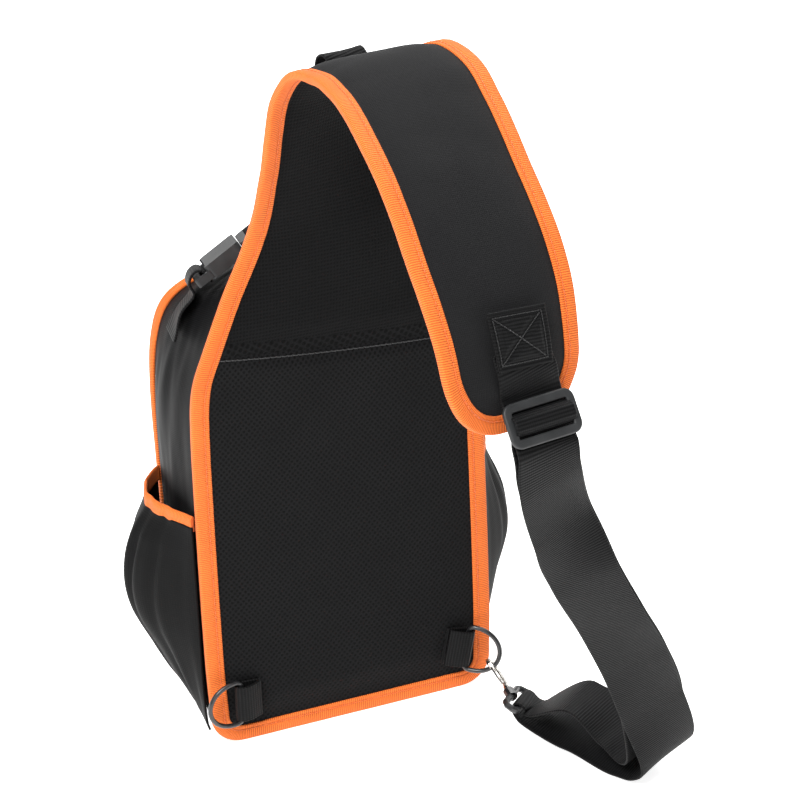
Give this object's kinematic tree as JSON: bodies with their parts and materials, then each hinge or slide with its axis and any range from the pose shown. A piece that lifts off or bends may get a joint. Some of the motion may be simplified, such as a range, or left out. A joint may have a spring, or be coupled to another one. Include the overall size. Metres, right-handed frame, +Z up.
{
  "type": "sling tool bag",
  "caption": "Single-strap sling bag for tools with a padded back panel, arched shoulder pad, side pockets and a webbing strap clipped to a D-ring.",
  "frame": {"origin": "middle of the flat base the bag stands on, between the back panel and the front", "axes": "+Z up, -Y towards the wearer's side (the padded back panel faces -Y), +X towards the side where the strap is clipped"},
  "size_m": [0.282, 0.3326, 0.4572],
  "materials": {
    "spacer_mesh": "padded spacer mesh, matte",
    "pad_canvas": "coarse woven canvas, matte",
    "orange_tape": "ribbed grosgrain tape",
    "body_cloth": "coated woven polyester, faint sheen",
    "pocket_cloth": "gathered stretch cloth, matte",
    "webbing": "cross-ribbed polyester webbing",
    "moulded_plastic": "moulded acetal, satin",
    "ring_wire": "black coated steel wire",
    "hook_metal": "nickel-plated die casting"
  },
  "bodies": {
    "bag": {"edge_tape": "orange_tape", "back_panel": "spacer_mesh", "shoulder_pad": "pad_canvas", "bag_body": "body_cloth", "front_piping": "orange_tape", "pocket_left": "pocket_cloth", "pocket_right": "pocket_cloth", "pocket_tape_left": "orange_tape", "pocket_tape_right": "orange_tape", "d_ring_right": "ring_wire", "d_tab_left": "webbing", "d_tab_right": "webbing", "grab_loop": "webbing", "shoulder_webbing": "webbing", "web_patch": "webbing", "tri_glide": "moulded_plastic", "hook_body": "hook_metal", "hook_base": "moulded_plastic", "buckle_socket": "moulded_plastic", "buckle_plug": "moulded_plastic", "closure_tape_side": "webbing", "closure_tape_top": "webbing"},
    "left_ring": {"d_ring_left": "ring_wire"},
    "gate": {"hook_gate": "hook_metal"}
  },
  "joints": [
    {"name": "left_ring_swing", "type": "hinge", "parent": "bag", "child": "left_ring", "pos_m": [-0.071, -0.05, 0.031], "axis": [0, 0, 1], "range_deg": [0, 150]},
    {"name": "gate_open", "type": "hinge", "parent": "bag", "child": "gate", "pos_m": [0.08252, -0.0798, 0.01982], "axis": [-0.8322, 0.057, -0.5515], "range_deg": [0, 18], "stiffness_Nm_per_rad": 0.01}
  ]
}
